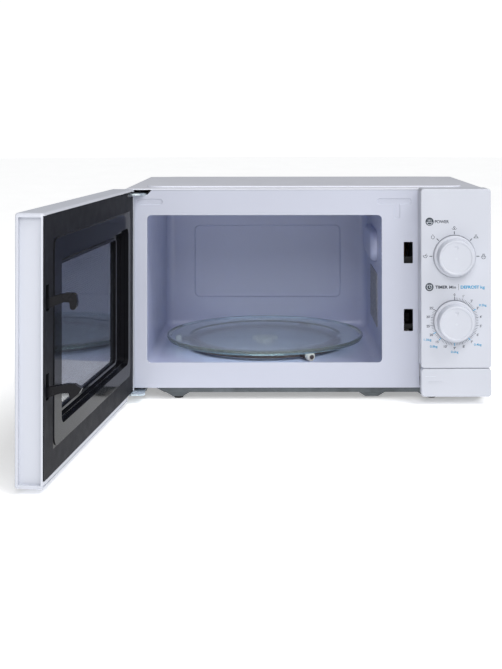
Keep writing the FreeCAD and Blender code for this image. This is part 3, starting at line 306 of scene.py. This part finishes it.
def door_cover():
    """Black inner cover: fine matte grain outside the raised band, gloss on the band and well."""
    base = (0.0125, 0.013, 0.0168)
    finish = Finish("door_inner_cover", base, 0.5, Specular_IOR_Level=0.06)
    hinge = joints["door_hinge"]
    shut_turn = math.radians(hinge["range_deg"][1])
    pin = Vector(hinge["pos_m"])
    shut = finish.node("ShaderNodeMapping", Vector=finish.place)
    shut.inputs["Rotation"].default_value = (0.0, 0.0, shut_turn)
    shut.inputs["Location"].default_value = pin - Matrix.Rotation(shut_turn, 3, "Z") @ pin
    parts = finish.node("ShaderNodeSeparateXYZ", Vector=shut.outputs["Vector"])
    edge_distance = []
    for axis, (low, high), zero in (("X", band_x, oven_zero.x), ("Z", band_z, 0.0)):
        middle = (low + high) / 2 * MM + zero
        offset = finish.maths("ABSOLUTE", finish.maths("SUBTRACT", parts.outputs[axis], middle))
        edge_distance.append(finish.maths("SUBTRACT", offset, (high - low) / 2 * MM))
    outside = finish.maths("MAXIMUM", *edge_distance)
    band_edge = (0.0002, 0.0008)
    matte = finish.between(outside, 0.0, 1.0, *band_edge)
    fine = finish.noise(70.0, 3.0)
    smooth_gloss = finish.between(fine, 0.07, 0.12)
    grain_gloss = finish.between(fine, 0.5, 0.58)
    on_grain = finish.maths("MULTIPLY", matte, grain_gloss)
    on_band = finish.maths("MULTIPLY", finish.maths("SUBTRACT", 1.0, matte), smooth_gloss)
    finish.gloss(finish.maths("ADD", on_grain, on_band))
    finish.tint(finish.colours(matte, shaded(base, 0.5), base, 0.0, 1.0))
    grain = finish.maths("MULTIPLY", finish.noise(1900.0, 1.0), matte)
    finish.relief(grain, 0.00006)
    return finish.material


white = (0.53, 0.55, 0.612)
steel_white = (0.72, 0.738, 0.82)
enamel_white = (0.47, 0.505, 0.685)

finishes = {
    "white_steel": painted("white_satin_paint", steel_white, 0.32, 0.4),
    "white_enamel": painted("cavity_enamel", enamel_white, 0.36, 0.44, peel=240.0, depth=0.000001),
    "white_plastic": moulded("white_abs", white, 0.4, 0.48),
    "zinc_steel": plated("blue_zinc", (0.5, 0.6, 0.66), (0.84, 0.91, 0.95), 0.3, 0.5),
    "grey_steel": slate_steel(),
    "door_steel": painted("door_black_paint", (0.015, 0.016, 0.02), 0.38, 0.5),
    "bright_steel": plated("bright_zinc", (0.5, 0.5, 0.52), (0.78, 0.78, 0.8), 0.18, 0.34),
    "mica": mica_sheet(),
    "black_plastic": moulded("black_acetal", (0.006, 0.006, 0.008), 0.22, 0.3,
                             grain=1500.0, specular=0.16),
    "dark_window": clear("smoked_window", (0.02, 0.022, 0.028), 0.04),
    "clear_film": clear("clear_film", (0.86, 0.9, 0.95), 0.02, smear=0.05),
    "tray_glass": clear("tray_glass", (0.8, 0.87, 0.89), 0.05, absorbed=(0.55, 0.85, 0.8),
                        density=4.0, milk=0.07),
    "lamp_glass": clear("lamp_glass", (0.97, 0.95, 0.9), 0.05),
    "ivory_plastic": moulded("ivory_acetal", (0.62, 0.6, 0.56), 0.3, 0.42),
    "grey_plastic": moulded("grey_nylon", (0.16, 0.165, 0.175), 0.38, 0.5, grain=1200.0),
    "dark_plastic": moulded("dark_phenolic", (0.012, 0.012, 0.014), 0.4, 0.55,
                            grain=1600.0, specular=0.3),
    "rubber": moulded("black_rubber", (0.014, 0.014, 0.015), 0.6, 0.75,
                      grain=900.0, depth=0.00003),
    "steel_laminations": laminated_steel(),
    "copper_windings": wound_copper(),
    "aluminium": brushed("drawn_aluminium", (0.52, 0.53, 0.54), (0.74, 0.75, 0.76), (1, 0.06, 1)),
    "board_green": circuit_board(),
    "rotor_steel": brushed("turned_steel", (0.3, 0.3, 0.31), (0.56, 0.56, 0.57), (1, 1, 0.1)),
}
own_finishes = {
    "front_frame": painted("frame_white_paint", (0.5, 0.522, 0.615), 0.34, 0.42),
    "choke_cover": door_cover(),
    "power_knob": moulded("knob_abs", white, 0.4, 0.48, grain=2600.0, depth=0.000003),
    "roller_ring": moulded("brown_ring", (0.06, 0.042, 0.04), 0.35, 0.5),
}
own_finishes["timer_knob"] = own_finishes["power_knob"]

for name, piece in nodes.items():
    for material_slot in piece.material_slots:
        slot_name = material_slot.material.name
        material_slot.material = own_finishes.get(name, finishes[slot_name])


# ---- printing on the control panel, and a painted highlight on the release button ----
print_proud = 0.05                        # inks stand this far out from the panel's face
pale_lift = 0.08                          # pale ink lies on the dark discs
ink_depth = 0.07
knob_x = 181.2
power_z = 180.8
timer_z = 101.7
capital_height = 0.7                      # about that of the built-in font, at size 1


def around(centre_z, angle, radius):
    """Point at a clock angle from the top of a knob, in degrees."""
    turn = math.radians(angle)
    return knob_x + radius * math.sin(turn), centre_z + radius * math.cos(turn)


class Print:
    """One colour of ink: thin shapes on the panel's face, given as (x, z) in millimetres."""

    def __init__(self, lift=print_proud):
        self.mesh = bmesh.new()
        self.y = -lift

    def shape(self, points):
        self.mesh.faces.new([self.mesh.verts.new(place(x, self.y, z)) for x, z in points])

    def disc(self, x, z, radius, count=48):
        turns = [math.tau * step / count for step in range(count)]
        self.shape([(x + radius * math.cos(t), z + radius * math.sin(t)) for t in turns])

    def ribbon(self, points, width, closed=False):
        """Stroke of even width through the points."""
        spots = [Vector(point) for point in points]
        last = len(spots) - 1
        pairs = []
        for index, spot in enumerate(spots):
            before = spots[index - 1] if index or closed else spot
            after = spots[(index + 1) % len(spots)] if index < last or closed else spot
            along = (after - before).normalized()
            side = Vector((-along.y, along.x)) * width / 2
            pairs.append([self.mesh.verts.new(place(p.x, self.y, p.y))
                          for p in (spot - side, spot + side)])
        for index in range(len(pairs) if closed else last):
            a, b = pairs[index]
            c, d = pairs[(index + 1) % len(pairs)]
            self.mesh.faces.new((a, c, d, b))

    def arc(self, x, z, radius, start, end, width, count=24):
        turns = [math.radians(start + (end - start) * step / count) for step in range(count + 1)]
        closed = abs(end - start) >= 360
        points = [(x + radius * math.cos(t), z + radius * math.sin(t)) for t in turns]
        self.ribbon(points[:-1] if closed else points, width, closed)

    def words(self, text, x, z, height, width=None, bold=16.0):
        """Lettering centred on a point; height is that of a capital, width the whole line's."""
        curve = bpy.data.curves.new("lettering", "FONT")
        curve.body = text
        curve.offset = bold * MM
        holder = added("lettering", curve)
        bpy.context.view_layer.update()
        mesh = holder.to_mesh()
        xs = [vertex.co.x for vertex in mesh.vertices]
        size = height * MM / capital_height
        across = width * MM / (max(xs) - min(xs)) if width else size
        turn = Matrix.Translation(place(x, self.y, z)) @ Matrix.Rotation(math.pi / 2, 4, "X")
        fit = Matrix.Diagonal((across, size, 1.0, 1.0))
        middle = Vector(((min(xs) + max(xs)) / 2, capital_height / 2, 0.0))
        mesh.transform(turn @ fit @ Matrix.Translation(-middle))
        self.mesh.from_mesh(mesh)
        holder.to_mesh_clear()
        bpy.data.objects.remove(holder)
        bpy.data.curves.remove(curve)

    def finish(self, name, material):
        mesh = bpy.data.meshes.new(name)
        bmesh.ops.recalc_face_normals(self.mesh, faces=self.mesh.faces)
        for face in self.mesh.faces:
            if face.normal.y > 0:
                face.normal_flip()
        self.mesh.to_mesh(mesh)
        self.mesh.free()
        mesh.materials.append(material)
        piece = added(name, mesh)
        thickened(piece, "ink", ink_depth, -1.0)
        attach(piece, "cabinet")


def ink_finish(name, colour):
    finish = Finish(name, colour, 0.45)
    finish.tint(finish.colours(finish.noise(500.0), shaded(colour, 0.9), shaded(colour, 1.1)))
    finish.gloss(finish.between(finish.noise(900.0), 0.4, 0.55))
    finish.relief(finish.noise(2500.0), 0.000008)
    return finish.material


dark_ink = Print()
blue_ink = Print()
pale_ink = Print(print_proud + pale_lift)
badge_radius = 5.0


def print_power_heading():
    """Steaming bowl in a dark disc, and the dial's name."""
    x, z = 151.1, 222.9
    bowl_z = 222.2
    dark_ink.disc(x, z, badge_radius)
    for dx in (-1.7, 0.0, 1.7):
        pale_ink.ribbon([(x + dx, 223.2), (x + dx, 225.6)], 0.5)
    pale_ink.arc(x, bowl_z, 3.2, 180, 360, 0.55)
    pale_ink.ribbon([(147.6, bowl_z), (154.6, bowl_z)], 0.55)
    dark_ink.words("POWER", 166.05, z, 3.6, 17.3, 24.0)


def print_timer_heading():
    """Alarm clock in a dark disc, and the names of the dial's two scales."""
    x, z = 150.7, 143.4
    clock_z = 143.1
    letter_height = 3.5
    dark_ink.disc(x, z, badge_radius)
    pale_ink.arc(x, clock_z, 2.9, 0, 360, 0.55, 32)
    pale_ink.ribbon([(x, 145.2), (x, clock_z), (152.1, 142.1)], 0.5)
    for side in (-1, 1):
        pale_ink.ribbon([(x + side * 1.9, 146.4), (x + side * 3.2, 145.3)], 0.5)
    dark_ink.words("TIMER", 165.4, z, letter_height, 15.2, 34.0)
    dark_ink.words("Min", 178.9, z, letter_height, 8.2, 16.0)
    dark_ink.ribbon([(186.0, 139.6), (186.0, 147.2)], 0.35)
    blue_ink.words("DEFROST", 200.0, z, letter_height, 22.6, 34.0)
    blue_ink.words("kg", 215.4, z, letter_height, 5.4, 16.0)


def print_power_scale():
    """Ticks round the knob, with a simple food picture beside each."""
    for angle in range(-90, 91, 45):
        dark_ink.ribbon([around(power_z, angle, r) for r in (26.8, 30.4)], 0.9)
    stroke = 0.55
    x, z = around(power_z, -90, 35.4)
    dark_ink.arc(x, z + 0.6, 2.4, 180, 360, stroke)
    dark_ink.ribbon([(x - 3.0, z + 0.6), (x + 3.0, z + 0.6)], stroke)
    dark_ink.ribbon([(x - 0.4, z + 0.6), (x + 1.6, z + 3.0)], stroke)
    x, z = around(power_z, -48, 35.3)
    dark_ink.arc(x, z - 0.6, 1.9, 140, 400, stroke)
    dark_ink.ribbon([(x - 1.46, z + 0.62), (x, z + 3.0), (x + 1.46, z + 0.62)], stroke)
    x, z = around(power_z, 0, 34.2)
    dark_ink.ribbon([(x - 3.0, z - 0.2), (x - 1.9, z - 1.4), (x + 1.9, z - 1.4), (x + 3.0, z - 0.2)],
                    stroke)
    dark_ink.arc(x, z + 1.0, 1.0, 0, 360, stroke)
    dark_ink.ribbon([(x, z - 1.4), (x, z)], stroke)
    x, z = around(power_z, 48, 35.4)
    dark_ink.arc(x, z - 1.3, 2.1, 0, 180, stroke)
    dark_ink.ribbon([(x - 3.1, z - 1.4), (x + 3.1, z - 1.4)], stroke)
    for dx in (-0.8, 0.8):
        dark_ink.ribbon([(x + dx, z + 1.4), (x + dx, z + 2.8)], stroke)
    x, z = around(power_z, 90, 35.4)
    dark_ink.arc(x, z - 0.6, 2.0, 0, 180, stroke)
    dark_ink.arc(x, z - 0.6, 2.6, 200, 340, stroke)
    dark_ink.ribbon([(x - 3.1, z - 0.7), (x + 3.1, z - 0.7)], stroke)
    for dx in (-1.2, 0.0, 1.2):
        dark_ink.ribbon([(x + dx, z + 1.9), (x + dx, z + 3.0)], stroke)


minutes = list(range(11)) + list(range(15, 36, 5))
minute_step = 20                          # degrees from one number to the next
# Tick's angle, then the weight, how many degrees its words are moved on, and their radius.
defrost = {60: ("0.2kg", 0, 39.6), 140: ("0.4kg", -5, 39.6), 180: ("0.6kg", 0, 36.9),
           220: ("0.8kg", 0, 39.6), 240: ("1.0kg", -4, 39.6)}


def print_timer_scale():
    """Ticks of the timer in dark ink, and the defrosting weights in blue."""
    inner = 26.1
    last = minute_step * (len(minutes) - 1)
    for angle in range(0, last + 1, 4):
        ink = dark_ink
        if angle in defrost:
            ink, outer, width = blue_ink, 29.6, 0.95
        elif angle in (0, last):
            outer, width = 30.2, 0.75
        elif angle % minute_step == 0:
            outer, width = 29.6, 0.5
        else:
            outer, width = 29.0, 0.34
        ink.ribbon([around(timer_z, angle, radius) for radius in (inner, outer)], width)
    for index, number in enumerate(minutes):
        spot = around(timer_z, index * minute_step, 32.4)
        dark_ink.words(f"{number}'" if number else "0", *spot, 2.9)
    for angle, (weight, swing, radius) in defrost.items():
        blue_ink.words(weight, *around(timer_z, angle + swing, radius), 2.7, 9.2)


def print_button_highlight():
    """Painted highlight: a short pale line near the release button's left end, standing in for light
    on an embossed ridge there; like all ink, it stays with the cabinet.
    """
    height = 35.0
    # Pale ink here is no print: it is a painted highlight along the button's embossed ridge.
    pale_ink.ribbon([(145.5, height), (158.5, height)], 0.6)


print_power_heading()
print_timer_heading()
print_button_highlight()
print_power_scale()
print_timer_scale()
dark_ink.finish("panel_print_dark", ink_finish("dark_ink", (0.025, 0.035, 0.05)))
blue_ink.finish("panel_print_blue", ink_finish("blue_ink", (0.0, 0.27, 0.5)))
pale_ink.finish("panel_print_pale", ink_finish("pale_ink", (0.62, 0.66, 0.72)))


# ---- perforated screen in the door ----
def corners(left, right, low, high):
    return [(left, low), (right, low), (right, high), (left, high)]


def make_screen():
    """Sheet with staggered round holes where it faces the window, and a plain rim."""
    hinge = joints["door_hinge"]
    pin = Vector(hinge["pos_m"])
    open_turn = -math.radians(hinge["range_deg"][1])
    swing = (Matrix.Translation(pin) @ Matrix.Rotation(open_turn, 4, "Z")
             @ Matrix.Translation(-pin))
    pitch = 2.6
    hole_radius = 0.86
    corner_radius = pitch / math.sqrt(3)
    left, right, low, high = -150.0, 68.0, 66.0, 203.0
    sheet_y = 12.0
    row_step = pitch * math.sqrt(3) / 2
    columns = int((right - left) / pitch)
    rows = int((high - low) / row_step)
    points = []
    faces = []
    known = {}

    def point(x, z):
        key = (round(x, 3), round(z, 3))
        if key not in known:
            known[key] = len(points)
            points.append(swing @ place(x, sheet_y, z))
        return known[key]

    for row in range(rows):
        for column in range(columns):
            x = left + pitch * (column + 0.5 * (row % 2)) + pitch / 2
            z = low + row_step * row + pitch / 2
            turns = [math.radians(30 + 60 * step) for step in range(6)]
            cell = [point(x + corner_radius * math.cos(t), z + corner_radius * math.sin(t))
                    for t in turns]
            hole = [point(x + hole_radius * math.cos(t), z + hole_radius * math.sin(t))
                    for t in turns]
            for step in range(6):
                after = (step + 1) % 6
                faces.append((cell[step], cell[after], hole[after], hole[step]))
    mesh = bpy.data.meshes.new("perforated_screen")
    mesh.from_pydata(points, [], faces)
    mesh.materials.append(finishes["door_steel"])
    screen = added("perforated_screen", mesh)
    thickened(screen, "sheet", 0.5)
    rim = bmesh.new()
    outer = corners(-162.0, 80.0, 54.0, 215.0)
    inner = corners(left + 1, right - 1, low + 1, high - 3)
    loops = [[rim.verts.new(swing @ place(x, sheet_y, z)) for x, z in loop]
             for loop in (outer, inner)]
    for step in range(4):
        after = (step + 1) % 4
        rim.faces.new((loops[0][step], loops[0][after], loops[1][after], loops[1][step]))
    rim_mesh = bpy.data.meshes.new("screen_rim")
    rim.to_mesh(rim_mesh)
    rim.free()
    rim_mesh.materials.append(finishes["door_steel"])
    rim_piece = added("screen_rim", rim_mesh)
    thickened(rim_piece, "sheet", 0.6)
    for piece in (screen, rim_piece):
        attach(piece, "door")
    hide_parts("door_screen")


make_screen()


# ---- studio ----
floor_glow = 0.34                         # light of its own, so that the floor stays white far away
world_light = 0.22                        # what the surround gives as a light
world_seen = 1.05                         # how bright the camera sees it


def make_floor():
    finish = Finish("pale_floor", (0.93, 0.935, 0.94), 0.6, Emission_Strength=floor_glow)
    finish.shader.inputs["Emission Color"].default_value = (1.0, 1.0, 1.0, 1.0)
    finish.tint(finish.colours(finish.noise(3.0, 3.0), (0.92, 0.925, 0.93), (0.95, 0.955, 0.96)))
    finish.gloss(finish.between(finish.noise(12.0), 0.55, 0.65))
    disc = bmesh.new()
    bmesh.ops.create_circle(disc, cap_ends=True, segments=96, radius=9.0)
    mesh = bpy.data.meshes.new("floor")
    disc.to_mesh(mesh)
    disc.free()
    mesh.materials.append(finish.material)
    added("floor", mesh)


def make_light(name, spot, aim, size, power, colour):
    lamp = bpy.data.lights.new(name, "AREA")
    lamp.shape = "DISK"
    lamp.size = size
    lamp.energy = power
    lamp.color = colour
    holder = added(name, lamp)
    holder.location = spot
    holder.rotation_euler = (Vector(aim) - Vector(spot)).to_track_quat("-Z", "Y").to_euler()


def make_sky_light(name, towards, strength, spread):
    """Soft light from one direction; spread is the angle in degrees that it comes from."""
    lamp = bpy.data.lights.new(name, "SUN")
    lamp.energy = strength
    lamp.angle = math.radians(spread)
    added(name, lamp).rotation_euler = Vector(towards).to_track_quat("Z", "Y").to_euler()


def make_world():
    """Pale surround, far brighter to the camera than as a light, so that it looks white."""
    world = bpy.data.worlds.new("studio")
    world.use_nodes = True
    tree = world.node_tree
    background = tree.nodes["Background"]
    background.inputs["Color"].default_value = (0.985, 0.99, 1.0, 1.0)
    seen = tree.nodes.new("ShaderNodeLightPath").outputs["Is Camera Ray"]
    strength = tree.nodes.new("ShaderNodeMapRange")
    strength.inputs["To Min"].default_value = world_light
    strength.inputs["To Max"].default_value = world_seen
    tree.links.new(seen, strength.inputs["Value"])
    tree.links.new(strength.outputs["Result"], background.inputs["Strength"])
    bpy.context.scene.world = world


def make_studio():
    make_floor()
    make_world()
    make_light("front", spot=(-0.05, -2.1, 1.4), aim=(0.0, 0.1, 0.12), size=1.3, power=29.0,
               colour=(1.0, 0.995, 0.99))
    make_sky_light("overhead", towards=(0.45, -0.3, 0.85), strength=1.95, spread=35.0)
    scene = bpy.context.scene
    scene.view_settings.view_transform = "Standard"
    scene.view_settings.look = "None"


def make_camera():
    """The photographed view, as fitted to the oven's edges in the photo."""
    tilt, roll = 90.693, 0.062            # degrees; a tilt of 90 looks level
    lens = bpy.data.cameras.new("camera")
    lens.lens = 62.07
    lens.sensor_width = 36.0
    lens.shift_x = -0.0432
    lens.shift_y = -0.3445
    camera = added("camera", lens)
    camera.location = place(-30.94, -1405.53, 349.29)
    camera.rotation_euler = (math.radians(tilt), math.radians(roll), 0.0)
    bpy.context.scene.camera = camera


make_studio()
make_camera()
